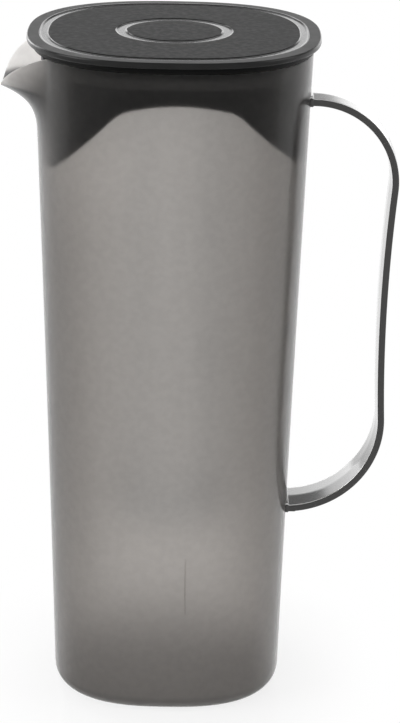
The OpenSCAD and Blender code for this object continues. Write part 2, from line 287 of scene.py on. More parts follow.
@dataclass(frozen=True)
class LippedPlastic(Plastic):
    """See-through plastic that deepens in the base, and carries painted shade at the root of a pouring lip.

    Attributes:
        lip_start: Distance from the middle at which the lip starts.
        lip_fade: Distance over which the deepening sets in.
        root_low: Height at which the deepening is half full at the root's lower end.
        root_high: The same at its upper end.
        root_fades: Heights over which it sets in at the lower and upper end.
        root_shade_share: Share of the colour that is left at the root, as painted shade.
        base_high: Height at which the base's deepening is half full.
        base_fade: Height over which it sets in.
        base_share: Share of the colour that is left in the base.
    """

    lip_start: float = 52.0
    lip_fade: float = 8.0
    root_low: float = 238.0
    root_high: float = 259.8
    root_fades: Span = (16.0, 2.2)
    root_shade_share: float = 0.1
    base_high: float = 5.0
    base_fade: float = 4.0
    base_share: float = 0.6

    def look(self, shader: Shader) -> tuple[Value, Value]:
        """Plain colour and roughness, with the colour deepened in the base and painted shade at the lip's
        root.

        Args:
            shader: Node tree of the material.

        Returns:
            The colour and the roughness.
        """
        colour, rough = super().look(shader)
        x, _, z = (axis * (1 / MM) for axis in shader.axes("Object"))
        # The lip's root is darkened as painted shade; the base is simply darker towards the bottom.
        outer = (0 - x).over(self.lip_start, self.lip_fade)
        root = z.over(self.root_low, self.root_fades[0]) - z.over(self.root_high, self.root_fades[1])
        base = 1 - z.over(self.base_high, self.base_fade)
        colour = shader.mix(base, colour, self.shade(self.base_share))
        return shader.mix(outer * root, colour, self.shade(self.root_shade_share)), rough


@dataclass(frozen=True)
class ChannelledPlastic(Plastic):
    """Satin plastic with two polished channels, one along a squarish outline and one along a circle.

    Attributes:
        squareness: Squareness of the outline, 2 for a circle.
        groove: Inner and outer half width of the channel along the outline.
        rim: Half width from which the outer edge is polished too.
        rim_polish: Roughness of that edge.
        ring: Inner and outer radius of the round channel.
        polish: Roughness of the channels.
        depth: Shade of the channels against the satin.
        fade: Width of the change from satin to polish.
    """

    squareness: float = 2.45
    groove: Span = (49.8, 53.9)
    rim: float = 58.3
    rim_polish: float = 0.2
    ring: Span = (18.7, 24.0)
    polish: float = 0.1
    depth: float = 0.4
    fade: float = 0.2

    def look(self, shader: Shader) -> tuple[Value, Value]:
        """Satin colour and roughness, and the polished ones inside the channels.

        A point's half width on the outline is (|x|^n + |y|^n)^(1/n), and its radius is the same with n = 2.

        Args:
            shader: Node tree of the material.

        Returns:
            The colour and the roughness.
        """
        colour, rough = super().look(shader)
        x, y, _ = (abs(axis) * (1 / MM) for axis in shader.axes("Object"))
        half, radius = ((x ** n + y ** n) ** (1 / n) for n in (self.squareness, CIRCLE))
        inside = half.between(*self.groove, self.fade).most(radius.between(*self.ring, self.fade))
        edge = half.over(self.rim, self.fade)
        rough = rough + (self.polish - rough) * inside
        return shader.mix(inside, colour, self.shade(self.depth)), rough + (self.rim_polish - rough) * edge


@dataclass(frozen=True)
class EdgedPlastic(Plastic):
    """Glossy plastic of a strap with a painted highlight near both borders and painted shade along its middle
    crease.

    Attributes:
        glow: Start and end of the painted highlight line, as distances from the strap's middle.
        highlight_colour: Colour of that painted highlight.
        crease: Half width of the painted shade along the middle.
        crease_shade_share: Share of the colour that is left in that painted shade.
        soft: Width of the change at each line.
    """

    glow: Span = (9.0, 9.75)
    highlight_colour: Colour = (0.7, 0.7, 0.7)
    crease: float = 0.25
    crease_shade_share: float = 0.2
    soft: float = 0.2

    def look(self, shader: Shader) -> tuple[Value, Value]:
        """Plain colour and roughness, with painted highlight lines near both borders and painted shade along
        the crease.

        Args:
            shader: Node tree of the material.

        Returns:
            The colour and the roughness.
        """
        colour, rough = super().look(shader)
        away = abs(shader.axes("Object")[1]) * (1 / MM)
        # Painted shade along the strap's middle crease.
        middle = 1 - away.over(self.crease, self.soft)
        colour = shader.mix(middle, colour, self.shade(self.crease_shade_share))
        # Painted highlight near both borders of the strap.
        return shader.mix(away.between(*self.glow, self.soft), colour, (*self.highlight_colour, 1.0)), rough


FROSTED_SMOKE = LippedPlastic(
    "frosted_smoke", (0.83, 0.815, 0.8), mottle=0.045, mottle_size=3.0, roughness=0.85, roughness_drift=0.04,
    grain_size=0.7, grain_depth=0.02, ior=1.18, transmission=1.0, coat=1.0, coat_roughness=0.2, coat_ior=1.31,
    density=0.113, tint=(0.05, 0.02, 0.0),
)
STRAP_SMOKE = EdgedPlastic(
    "strap_smoke", (0.045, 0.044, 0.043), mottle=0.06, mottle_size=25.0, roughness=0.16, roughness_drift=0.04,
    grain_size=0.9, grain_depth=0.003, coat=1.0, coat_roughness=0.14,
)
SATIN_PLATE = ChannelledPlastic(
    "polished_black", (0.016, 0.016, 0.016), mottle=0.1, mottle_size=9.0, roughness=0.5, roughness_drift=0.06,
    grain_size=0.55, grain_depth=0.03, specular=0.25,
)
MATTE_INLAY = Plastic(
    "matte_inlay", (0.041, 0.041, 0.041), mottle=0.7, mottle_size=2.2, roughness=0.6, roughness_drift=0.2,
    grain_size=0.55, grain_depth=0.08, specular=0.05,
)
SKIRT_BLACK = Plastic(
    "skirt_black", (0.004, 0.004, 0.004), mottle=0.1, mottle_size=15.0, roughness=0.4, roughness_drift=0.06,
    grain_size=0.8, grain_depth=0.01, specular=0.12,
)
SILICONE_BLACK = Plastic(
    "silicone_black", (0.02, 0.02, 0.021), mottle=0.1, mottle_size=8.0, roughness=0.62, roughness_drift=0.05,
    grain_size=0.5, grain_depth=0.01,
)
CLEAR_PLASTIC = Plastic(
    "clear_plastic", (0.98, 0.983, 0.986), mottle=0.01, mottle_size=20.0, roughness=0.06,
    roughness_drift=0.03, grain_size=2.0, grain_depth=0.002, ior=1.03, transmission=1.0,
    coat=0.8, coat_roughness=0.05, coat_ior=1.35, density=0.014, tint=(0.0, 0.1, 0.15),
)


def points(*axes: Rows) -> Array:
    """Points from their coordinates, which are spread to a common shape."""
    return np.stack(np.broadcast_arrays(*axes), axis=-1)


def capped(rings: Array) -> Array:
    """Rings with a point in the middle of the first and of the last one, which closes both ends."""
    middles = np.broadcast_to(rings.mean(axis=1, keepdims=True), rings.shape)
    return np.concatenate([middles[:1], rings, middles[-1:]])


def squarish(half: Rows, power: Rows, turns: Array) -> tuple[Array, Array]:
    """Works out a squarish outline.

    The outline is the superellipse where the powers of |x / half| and |y / half| add up to 1. Seen from the
    middle in the direction a, it lies at half times (|cos a|^power + |sin a|^power)^(-1 / power).

    Args:
        half: Half width of each ring.
        power: Squareness of each ring, 2 for a circle.
        turns: Directions in radians.

    Returns:
        X and Y of the points.
    """
    across, along = np.cos(turns), np.sin(turns)
    reach = half * (np.abs(across) ** power + np.abs(along) ** power) ** (-1 / power)
    return reach * across, reach * along


def directions(count: int) -> Array:
    """Even directions round a full turn, in radians."""
    return np.arange(count) * 2 * math.pi / count


def roll(steps: int) -> tuple[Array, Array]:
    """Works out a rounded edge across a wall.

    A share runs from one face of the wall to the other as half a cosine wave, and the edge falls away from
    its crest by 1 - (1 - |2t - 1|^3)^(1/3) on both sides.

    Args:
        steps: Number of steps across the wall.

    Returns:
        Share of the way across, and share of the fall, at each step.
    """
    t = np.linspace(0, 1, steps + 1)
    fall = 1 - np.cbrt(1 - np.abs(2 * t - 1) ** 3)
    return (1 - np.cos(math.pi * t)) / 2, fall


def quarter(steps: int) -> tuple[Array, Array]:
    """Sine and 1 - cosine of a quarter turn, for a rounded corner: two rows of shares from 0 to 1."""
    t = np.linspace(0, math.pi / 2, steps + 1)
    return np.sin(t), 1 - np.cos(t)


class Skin:
    """Surface of one piece, gathered from grids of points."""

    def __init__(self) -> None:
        """Starts an empty surface."""
        self._points: list[Array] = []
        self._quads: list[Array] = []
        self._total = 0

    def grid(self, given: Array, loop_rows: bool = False, loop_columns: bool = True) -> "Skin":
        """Adds a grid of points with the quads between neighbours.

        A grid that loops goes on from its last row or column to its first.

        Args:
            given: Rows x columns x 3 coordinates.
            loop_rows: Whether the last row joins the first.
            loop_columns: Whether the last column joins the first.

        Returns:
            This surface.
        """
        rows, columns = given.shape[:2]
        index = self._total + np.arange(rows * columns).reshape(rows, columns)
        index = np.vstack([index, index[:1]]) if loop_rows else index
        index = np.hstack([index, index[:, :1]]) if loop_columns else index
        corners = [index[:-1, :-1], index[:-1, 1:], index[1:, 1:], index[1:, :-1]]
        self._quads.append(np.stack(corners, axis=-1).reshape(-1, 4))
        self._points.append(given.reshape(-1, 3))
        self._total += rows * columns
        return self

    def piece(self, name: str, finish: Material, sharp: float = SOFT_ANGLE) -> bpy.types.Object:
        """Makes the surface an object.

        Args:
            name: Name of the piece.
            finish: Its material.
            sharp: Angle past which an edge stays sharp.

        Returns:
            The object.
        """
        mesh = bpy.data.meshes.new(name)
        places = np.concatenate(self._points) * MM
        mesh.from_pydata(places.tolist(), [], np.concatenate(self._quads).tolist())
        return finished(mesh, finish, sharp)


def finished(mesh: bpy.types.Mesh, finish: Material, sharp: float) -> bpy.types.Object:
    """Makes a mesh an object at the origin, with closed seams, faces that point outwards and smooth shading.

    Args:
        mesh: The mesh, which gives the object its name.
        finish: Its material.
        sharp: Angle past which an edge stays sharp.

    Returns:
        The object.
    """
    work = bmesh.new()
    work.from_mesh(mesh)
    bmesh.ops.remove_doubles(work, verts=work.verts, dist=WELD_METRES)
    bmesh.ops.recalc_face_normals(work, faces=work.faces)
    work.to_mesh(mesh)
    work.free()
    mesh.shade_smooth()
    mesh.set_sharp_from_angle(angle=math.radians(sharp))
    mesh.materials.append(finish)
    made = bpy.data.objects.new(mesh.name, mesh)
    bpy.context.scene.collection.objects.link(made)
    return made


def settle(piece: bpy.types.Object, body: Body, slot: str, *nodes: str) -> None:
    """Puts a piece on its body, lets it stand for CAD nodes and reports it.

    Args:
        piece: The new piece.
        body: Body that it rides on.
        slot: Not used.
        nodes: CAD nodes that it stands for.
    """
    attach(piece, body.value)
    if nodes:
        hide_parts(*nodes)
    LOG.info("%s rides on %s with %d faces", piece.name, body.value, len(piece.data.polygons))


@dataclass
class Jug:
    """The frosted vessel with its pouring lip and a fine moulded line."""

    finish: Material
    rim_height: float = 275.0
    rim_half: float = 55.8
    base_half: float = 48.6
    rim_squareness: float = 2.5
    base_squareness: float = 2.65
    taper_power: float = 1.15
    wall: float = 2.2
    floor: float = 3.2
    base_fillet: float = 4.6
    lip_reach: float = 14.3
    lip_half_width: float = 33.0
    lip_dip: float = 17.2
    lip_depth: float = 38.0
    lip_bluntness: float = 5.5
    lip_flare: float = 3.7
    lip_edge_power: float = 2.25
    lip_ease: float = 1.15
    rim_round: float = 0.8
    mark_place: float = 8.0
    mark_low: float = 45.0
    mark_high: float = 71.0
    mark_width: float = 0.5
    mark_depth: float = 0.18
    mark_end_power: int = 12
    mark_proud: float = 0.01
    mark_sunk: float = 0.05
    columns: int = 320
    base_steps: int = 7
    fillet_steps: int = 10
    wall_steps: int = 49
    lip_steps: int = 44
    rim_steps: int = 12
    mark_rows: int = 40
    mark_columns: int = 9

    def __post_init__(self) -> None:
        """Works out the height at which the lip starts to flare."""
        self.lip_start = self.rim_height - self.lip_depth

    def half(self, z: Rows) -> Array:
        """Half width of the outside at a height: it grows from base to rim with a power of the height."""
        climb = (np.maximum(z, 0) / self.rim_height) ** self.taper_power
        return self.base_half + (self.rim_half - self.base_half) * climb

    def squareness(self, z: Array) -> Array:
        """Squareness of the plan at a height, in a straight line from base to rim."""
        return self.base_squareness + (self.rim_squareness - self.base_squareness) * z / self.rim_height

    def wall_rows(self, z: Array, inset: Rows) -> Array:
        """Rings of the plain wall, each at a height and at a distance inside the outside."""
        z, inset = points(z, inset).T[..., None]
        return points(*squarish(self.half(z) - inset, self.squareness(z), directions(self.columns)), z)

    def lip_rows(self, share: Rows, inset: Rows, below: Rows) -> Array:
        """Rings of the flared zone.

        At a place y across the lip, w = min(|y| / half width, 1). The edge dips by
        dip (1 - w^edge power)^ease, and the wall stands out by reach (1 - w^bluntness)^ease, times the share
        of the climb to the power of the flare.

        Args:
            share: Share of the climb from the lip's start to the ring.
            inset: Distance of each ring inside the outside.
            below: Distance of the last ring below the edge.

        Returns:
            Rings x columns x 3 points.
        """
        share, inset, below = points(share, inset, below).T[..., None]
        turns = directions(self.columns)
        rim_x, rim_y = squarish(self.rim_half - inset, self.rim_squareness, turns)
        at_lip = rim_x < 0
        across = np.minimum(np.abs(rim_y) / self.lip_half_width, 1)
        dip = at_lip * self.lip_dip * (1 - across ** self.lip_edge_power) ** self.lip_ease
        rise = self.rim_height - dip - self.lip_start
        z = self.lip_start + (rise - below) * share
        climb = (z - self.lip_start) / rise
        x, y = squarish(self.half(z) - inset, self.squareness(z), turns)
        out = at_lip * self.lip_reach * (1 - across ** self.lip_bluntness) ** self.lip_ease
        return points(x - out * climb ** self.lip_flare, y, z)

    def shell(self) -> None:
        """Builds the vessel as one skin: base, outside, rounded rim, inside and floor."""
        sine, rise = quarter(self.fillet_steps)
        over, fall = roll(self.rim_steps)
        inner = self.base_fillet - self.wall
        spread = np.linspace(0, 1, self.base_steps + 1)[:-1]
        climb = np.linspace(0, 1, self.lip_steps + 1)[1:]
        base = self.base_half - (self.base_half - self.base_fillet) * spread
        middle = self.half(self.floor)
        floor = middle - (middle - self.wall - inner) * spread
        low = self.floor + inner
        inside = np.concatenate([
            self.wall_rows(np.full_like(spread, self.floor), floor),
            self.wall_rows(self.floor + inner * rise, self.wall + inner * (1 - sine)),
            self.wall_rows(np.linspace(low, self.lip_start, self.wall_steps + 1)[1:], self.wall),
            self.lip_rows(climb, self.wall, self.rim_round),
        ])
        skin = Skin().grid(np.concatenate([
            self.wall_rows(np.zeros_like(spread), base),
            self.wall_rows(self.base_fillet * rise, self.base_fillet * (1 - sine)),
            self.wall_rows(np.linspace(self.base_fillet, self.lip_start, self.wall_steps + 1)[1:], 0.0),
            self.lip_rows(climb, 0.0, self.rim_round),
            self.lip_rows(1.0, self.wall * over[1:-1], self.rim_round * fall[1:-1]),
            inside[::-1],
        ]))
        settle(skin.piece("jug_shell", self.finish), Body.JUG, "frosted_smoke", "jug_body")

    def front(self, x: Array, z: Array, out: Rows) -> Array:
        """Points before the front wall, which lies at y = -half (1 - |x / half|^power)^(1/power)."""
        half, power = self.half(z), self.squareness(z)
        return points(x, -half * (1 - np.abs(x / half) ** power) ** (1 / power) - out, z)

    def mark(self) -> None:
        """Builds the fine moulded line low on the front: a slim rounded rib that fades at both ends."""
        along = np.linspace(-1, 1, self.mark_rows)[:, None]
        across = np.linspace(-1, 1, self.mark_columns)
        z = np.linspace(self.mark_low, self.mark_high, self.mark_rows)[:, None]
        x = self.mark_place + across * self.mark_width / 2
        height = self.mark_depth * np.sqrt(1 - across ** 2) * (1 - np.abs(along) ** self.mark_end_power)
        top = self.front(x, z, height + self.mark_proud)
        foot = self.front(x, z, -self.mark_sunk)
        skin = Skin().grid(capped(np.concatenate([top, foot[:, ::-1]], axis=1)))
        settle(skin.piece("jug_mould_line", self.finish), Body.JUG, "frosted_smoke")


@dataclass
class Handle:
    """The strap and the two brackets that carry it."""

    jug: Jug
    finish: Material
    drop: float = 21.3
    low: float = 76.8
    reach: float = 34.7
    upper_bend: float = 33.7
    lower_bend: float = 39.5
    lean: float = 1.6
    grip_radius: float = 720.0
    width: float = 20.0
    edge: float = 2.7
    ridge: float = 0.4
    tuck: float = 1.0
    pad_height: float = 4.2
    pad_thickness: float = 1.0
    pad_margin: float = 0.3
    pad_round: float = 0.45
    pad_squareness: float = 7.0
    tongue_length: float = 3.4
    tongue_thickness: float = 2.4
    fixed_gap: float = 0.03
    corner: float = 0.35
    proud: float = 0.2
    head_round: float = 0.25
    bend_points: int = 64
    grip_points: int = 60
    roof_steps: int = 8
    corner_steps: int = 5
    head_steps: int = 4
    tongue_points: int = 17
    pad_columns: int = 64

    def __post_init__(self) -> None:
        """Works out the height of the strap's upper end."""
        self.high = self.jug.rim_height - self.drop

    def face(self, z: float) -> float:
        """X of the outer face of the bracket's pad at a height."""
        return float(self.jug.half(z + self.pad_height / 2)) + self.fixed_gap + self.pad_thickness

    def path(self) -> tuple[Array, Array]:
        """Middle line of the strap: an upper bend, a hollow grip and a lower bend, each tangent to the next.

        The grip's circle touches both bends from outside, so its centre lies at grip radius plus bend radius
        from each bend's centre.

        Returns:
            X and Z of the points, and the direction that the outer face looks to at each, in radians.
        """
        far = self.jug.rim_half + self.reach
        upper = np.array([far - self.upper_bend, self.high - self.upper_bend])
        lower = np.array([far - self.lean - self.lower_bend, self.low + self.lower_bend])
        span = np.linalg.norm(lower - upper)
        down = (lower - upper) / span
        out = np.array([-down[1], down[0]])
        upper_sum, lower_sum = self.grip_radius + self.upper_bend, self.grip_radius + self.lower_bend
        along = (upper_sum ** 2 - lower_sum ** 2 + span ** 2) / (2 * span)
        grip = upper + along * down + math.sqrt(upper_sum ** 2 - along ** 2) * out
        upper_turn, lower_turn = (math.atan2(*(grip - bend)[::-1]) for bend in (upper, lower))

        def arc(centre: Array, radius: float, turns: Array) -> Array:
            """Points of a circle about a centre at the given directions."""
            return centre + radius * points(np.cos(turns), np.sin(turns))

        upper_turns = np.linspace(math.pi / 2, upper_turn, self.bend_points)
        grip_turns = np.linspace(upper_turn, lower_turn, self.grip_points)[1:-1]
        lower_turns = np.linspace(lower_turn, -math.pi / 2, self.bend_points)
        line = np.concatenate([
            [[self.face(self.high) - self.tuck, self.high]],
            arc(upper, self.upper_bend, upper_turns),
            arc(grip, -self.grip_radius, grip_turns),
            arc(lower, self.lower_bend, lower_turns),
        ])
        return line, np.concatenate([upper_turns[:1], upper_turns, grip_turns, lower_turns])

    def section(self) -> Array:
        """Outline of the strap across its run: two roofed faces, flat edges and rounded corners.

        Returns:
            Points as steps outwards and across.
        """
        half, edge = self.width / 2, self.edge / 2
        flat = half - self.corner
        sine, rise = quarter(self.corner_steps)
        across = np.linspace(0, 1, self.roof_steps + 1)[1:]
        y = np.concatenate([flat * across, flat + self.corner * sine[1:]])
        out = edge + self.ridge * (1 - y / half)
        out[-self.corner_steps:] -= self.corner * rise[1:]
        crest = [edge + self.ridge]
        upper = points(np.concatenate([out[::-1], crest, out]), np.concatenate([-y[::-1], [0.0], y]))
        return np.concatenate([upper, upper[::-1] * [-1, 1]])

    def strap(self) -> None:
        """Builds the strap: its section carried along the middle line and cut upright at both pads."""
        line, turns = self.path()
        out, y = self.section().T
        x = line[:, :1] + out * np.cos(turns)[:, None]
        z = line[:, 1:] + out * np.sin(turns)[:, None]
        middle = (self.high + self.low) / 2
        limit = np.where(z > middle, self.face(self.high), self.face(self.low)) + self.fixed_gap
        rings = points(np.maximum(x, limit), y, z)
        kept = np.ptp(rings[..., 0], axis=1) + np.ptp(rings[..., 2], axis=1) > 0
        skin = Skin().grid(capped(rings[kept]))
        settle(skin.piece("handle_strap", self.finish, CRISP_ANGLE), Body.JUG, "strap_smoke", "handle")

    def tongue(self, face: float, z: float) -> Array:
        """Tongue with a round end, across the strap and a hair proud of its sides.

        Its side outline runs out, round half a circle and back, and shrinks towards its own middle through a
        rounded edge at both sides.

        Args:
            face: X of the pad's face.
            z: Height of the tongue.

        Returns:
            Rows x columns x 3 points of a closed form.
        """
        radius = self.tongue_thickness / 2
        turns = np.linspace(-math.pi / 2, math.pi / 2, self.tongue_points)
        start = -self.pad_thickness / 2
        out = np.concatenate([[start], self.tongue_length - radius * (1 - np.cos(turns)), [start]])
        up = radius * np.sin(np.concatenate([turns[:1], turns, turns[-1:]]))
        sine, rise = quarter(self.head_steps)
        shrink = np.concatenate([[1.0], self.head_round * (1 - sine) / radius])
        depth = np.concatenate([[0.0], self.head_round * rise])
        scale = 1 - np.concatenate([shrink, shrink[::-1]])[:, None]
        side = self.width / 2 + self.proud - depth
        y = np.concatenate([-side, side[::-1]])[:, None]
        middle = out.mean()
        return points(face + middle + (out - middle) * scale, y, z + up * scale)

    def bracket(self, name: str, z: float, node: str) -> None:
        """Builds a bracket: a pad with rounded edges that follows the wall, and the tongue into the strap.

        The pad's outline is a rectangle with softly rounded corners, a superellipse of a high power.

        Args:
            name: Name of the piece.
            z: Height of the bracket's middle.
            node: CAD node that it stands for.
        """
        face = self.face(z)
        half_y, half_z = self.width / 2 + self.pad_margin, self.pad_height / 2
        sine, rise = quarter(self.corner_steps)
        round_y, round_z = squarish(1.0, self.pad_squareness, directions(self.pad_columns))
        inset = np.concatenate([[half_z], self.pad_round * (1 - sine), [0.0]])[:, None]
        depth = np.concatenate([[0.0], self.pad_round * rise, [self.pad_thickness]])[:, None]
        y, up = round_y * (half_y - inset), round_z * (half_z - inset)
        half, power = self.jug.half(z + up), self.jug.squareness(z + up)
        wall = half * (1 - np.abs(y / half) ** power) ** (1 / power) + self.fixed_gap
        front = points(np.where(depth < self.pad_thickness, face - depth, wall), y, z + up)
        back = np.broadcast_to([wall[0].max(), 0.0, z], front[:1].shape)
        skin = Skin().grid(np.concatenate([front, back])).grid(self.tongue(face, z))
        settle(skin.piece(name, self.finish), Body.JUG, "strap_smoke", node)


@dataclass
class Lid:
    """The lid: a bordered plate, its two inlays and the arched skirt."""

    jug: Jug
    plate_finish: Material
    inlay_finish: Material
    skirt_finish: Material
    overhang: float = 3.0
    squareness: float = 2.45
    cover_thickness: float = 2.5
    cover_border: float = 5.3
    border_margin: float = 0.2
    recess_depth: float = 1.2
    recess_margin: float = 0.3
    groove_width: float = 3.5
    ring_outer: float = 23.6
    ring_width: float = 4.7
    shoulder_height: float = 2.4
    shoulder_overhang: float = 0.6
    shoulder_step: float = 0.6
    seat_gap: float = 0.1
    skirt_wall: float = 2.0
    skirt_depth: float = 45.0
    skirt_gap: float = 0.5
    skirt_round: float = 0.4
    arch_drop: float = 13.6
    arch_crown: float = 3.7
    arch_shift: float = 2.6
    arch_half: float = 22.8
    arch_slope: float = 46.2
    arch_round: float = 7.0
    strainer_count: int = 9
    strainer_slot: float = 2.4
    strainer_pitch: float = 4.6
    strainer_margin: float = 6.0
    cutter_reach: float = 8.0
    edge_round: float = 0.7
    inner_round: float = 0.15
    channel_depth: float = 0.45
    channel_power: float = 6.0
    columns: int = 288
    plate_rows: int = 8
    flat_rows: int = 4
    recess_rows: int = 12
    disc_rows: int = 6
    inlay_rows: int = 18
    channel_rows: int = 25
    skirt_rows: int = 24
    edge_steps: int = 6
    inlay_steps: int = 5
    shoulder_steps: int = 4
    foot_steps: int = 8
    slot_columns: int = 32

    def __post_init__(self) -> None:
        """Works out the heights and half widths that follow from the sizes."""
        self.shoulder_low = self.jug.rim_height + self.seat_gap
        self.cover_low = self.shoulder_low + self.shoulder_height
        self.top = self.cover_low + self.cover_thickness
        self.recess_low = self.top - self.recess_depth
        self.skirt_low = self.jug.rim_height - self.skirt_depth
        self.half = self.jug.rim_half + self.overhang
        self.recess_half = self.half - self.cover_border
        self.panel_half = self.recess_half - self.groove_width
        self.disc_half = self.ring_outer - self.ring_width
        self.skirt_half = float(self.jug.half(self.skirt_low)) - self.jug.wall - self.skirt_gap

    def rings(self, *profile: tuple) -> Array:
        """Carries a profile round the lid.

        Args:
            profile: Half widths, heights and squareness of each stretch, as rows or numbers.

        Returns:
            Rings x columns x 3 points.
        """
        rows = np.concatenate([np.atleast_2d(points(*stretch)) for stretch in profile])
        half, z, power = rows.T[..., None]
        return points(*squarish(half, power, directions(self.columns)), z)

    def cover(self) -> None:
        """Builds the plate: rounded outer edges, a border, and polished channels with a hollow floor.

        Across a channel the floor lies below the top by depth (1 - |2s - 1|^power).
        """
        n, low, top, floor, edge = self.squareness, self.cover_low, self.top, self.recess_low, self.edge_round
        sine, rise = quarter(self.edge_steps)
        flat = self.half - edge
        s = np.linspace(0, 1, self.channel_rows)
        hollow = top - self.channel_depth * (1 - np.abs(2 * s - 1) ** self.channel_power)
        rounding = np.linspace(n, CIRCLE, self.recess_rows)
        border_end = self.recess_half + self.inner_round + self.border_margin
        panel_end, ring_end = self.panel_half - self.recess_margin, self.ring_outer + self.recess_margin
        skin = Skin().grid(self.rings(
            (np.linspace(0, flat, self.plate_rows), low, n),
            (flat + edge * sine, low + edge * rise, n),
            (flat + edge * (1 - rise), top - edge + edge * sine, n),
            (np.linspace(flat - self.border_margin, border_end, self.flat_rows), top, n),
            (self.recess_half - self.groove_width * s, hollow, n),
            (np.linspace(panel_end, ring_end, self.recess_rows), floor, rounding),
            (self.ring_outer - self.ring_width * s, hollow, CIRCLE),
            (np.linspace(self.disc_half - self.recess_margin, 0, self.disc_rows), floor, CIRCLE),
        ))
        settle(skin.piece("lid_plate", self.plate_finish), Body.LID, "polished_black", "lid_cover")

    def panel(self) -> None:
        """Builds the inlay panel: a plate with rounded edges round the ring channel's hole."""
        n, floor, top, edge = self.squareness, self.recess_low, self.top, self.inner_round
        sine, rise = (share[1:] for share in quarter(self.inlay_steps))
        half, hole, rows = self.panel_half, self.ring_outer, self.inlay_rows
        skin = Skin().grid(self.rings(
            (hole, np.array([floor, top - edge]), CIRCLE),
            (hole + edge * rise, top - edge + edge * sine, CIRCLE),
            (np.linspace(hole + edge, half - edge, rows)[1:], top, np.linspace(CIRCLE, n, rows)[1:]),
            (half - edge + edge * sine, top - edge * rise, n),
            (half, floor, n),
        ), loop_rows=True)
        settle(skin.piece("lid_inlay", self.inlay_finish), Body.LID, "matte_inlay", "lid_panel")

    def disc(self) -> None:
        """Builds the centre disc: a round inlay with a rounded edge."""
        floor, top, edge, radius = self.recess_low, self.top, self.inner_round, self.disc_half
        sine, rise = quarter(self.inlay_steps)
        skin = Skin().grid(self.rings(
            (np.linspace(0, radius, self.flat_rows), floor, CIRCLE),
            (radius - edge + edge * (1 - rise), top - edge + edge * sine, CIRCLE),
            (np.linspace(radius - edge, 0, self.disc_rows)[1:], top, CIRCLE),
        ))
        settle(skin.piece("lid_centre_disc", self.inlay_finish), Body.LID, "matte_inlay", "lid_disc")

    def arch(self, x: Array) -> Array:
        """Height of the skirt's lower edge at a place across it.

        The arch turns down through a rounded corner, falls in a straight slope and ends at the skirt's foot.
        Its middle is crowned: it sinks with the square of the distance, up to the corner.

        Args:
            x: Place across the skirt.

        Returns:
            Height of the edge.
        """
        slope = math.radians(self.arch_slope)
        top = self.jug.rim_height - self.arch_drop
        bend_end = self.arch_round * math.sin(slope)
        away = np.abs(x - self.arch_shift)
        past = away - (self.arch_half - self.arch_round * math.tan(slope / 2))
        corner = top - self.arch_round + np.sqrt(self.arch_round ** 2 - np.clip(past, 0, bend_end) ** 2)
        straight = top - (away - self.arch_half) * math.tan(slope)
        height = np.where(past < bend_end, corner, straight)
        crowned = height - self.arch_crown * np.minimum(away / self.arch_half, 1) ** 2
        return np.maximum(crowned, self.skirt_low)

    def wall_rows(self, half: Rows, lift: Rows, share: Rows, top: float) -> Array:
        """Rings of the skirt's wall, each at a share of the way from the arch up to a height.

        Args:
            half: Half width of each ring.
            lift: Distance of the lowest ring above the arch.
            share: Share of the way up to each ring.
            top: Height at share 1.

        Returns:
            Rings x columns x 3 points.
        """
        x, y = squarish(half, self.jug.rim_squareness, directions(self.columns))
        foot = self.arch(x) + lift
        return points(x, y, foot + (top - foot) * share)

    def skirt(self) -> None:
        """Builds the shoulder and the arched skirt as one closed ring, then cuts the strainer's slots."""
        low, high, edge, n = self.shoulder_low, self.cover_low, self.skirt_round, self.squareness
        half, inside = self.skirt_half, self.skirt_half - self.skirt_wall
        flat = self.jug.rim_half + self.shoulder_overhang - edge
        sine, rise = quarter(self.shoulder_steps)
        over, fall = (share[1:-1, None] for share in roll(self.foot_steps))
        climb = np.linspace(0, 1, self.skirt_rows)[:, None]
        skin = Skin().grid(np.concatenate([
            self.wall_rows(inside, edge, climb[::-1], high),
            self.wall_rows(inside + self.skirt_wall * over, edge * fall, 0.0, high),
            self.wall_rows(half, edge, climb, low),
            self.rings(
                (np.linspace(half + self.shoulder_step, flat, self.flat_rows), low, n),
                (flat + edge * sine, low + edge * rise, n),
                (flat + edge * (1 - rise), high - edge + edge * sine, n),
            ),
        ]), loop_rows=True)
        piece = skin.piece("lid_arched_skirt", self.skirt_finish)
        self.cut_slots(piece)
        settle(piece, Body.LID, "skirt_black", "lid_skirt")

    def cut_slots(self, piece: bpy.types.Object) -> None:
        """Cuts the strainer's upright slots with round ends through the skirt's lip side.

        Args:
            piece: The skirt.
        """
        radius = self.strainer_slot / 2
        low = self.skirt_low + self.strainer_margin + radius
        high = self.jug.rim_height - self.arch_drop - self.strainer_margin / 2 - radius
        turns = directions(self.slot_columns)
        x = -self.skirt_half + self.cutter_reach * np.array([[-1.0], [1.0]])
        z = np.where(np.sin(turns) > 0, high, low) + radius * np.sin(turns)
        cutter = Skin()
        for i in range(self.strainer_count):
            y = radius * np.cos(turns) + (i - (self.strainer_count - 1) / 2) * self.strainer_pitch
            cutter.grid(capped(points(x, y, z)))
        tool = cutter.piece("strainer_cutter", self.skirt_finish)
        cut = piece.modifiers.new("strainer", "BOOLEAN")
        cut.operation, cut.solver, cut.object = "DIFFERENCE", "EXACT", tool
        ready = piece.evaluated_get(bpy.context.evaluated_depsgraph_get())
        mesh = bpy.data.meshes.new_from_object(ready)
        piece.modifiers.remove(cut)
        piece.data = mesh
        bpy.data.objects.remove(tool)


def smooth_copy(name: str, node: str, finish: Material, body: Body, slot: str) -> None:
    """Stands a smoothly shaded copy in for a CAD node whose shape is already right.

    Args:
        name: Name of the piece.
        node: CAD node that it stands for.
        finish: Its material.
        body: Body that it rides on.
        slot: Passed on to settle, which does not use it.
    """
    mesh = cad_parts[node].data.copy()
    mesh.name = name
    mesh.materials.clear()
    settle(finished(mesh, finish, CRISP_ANGLE), body, slot, node)


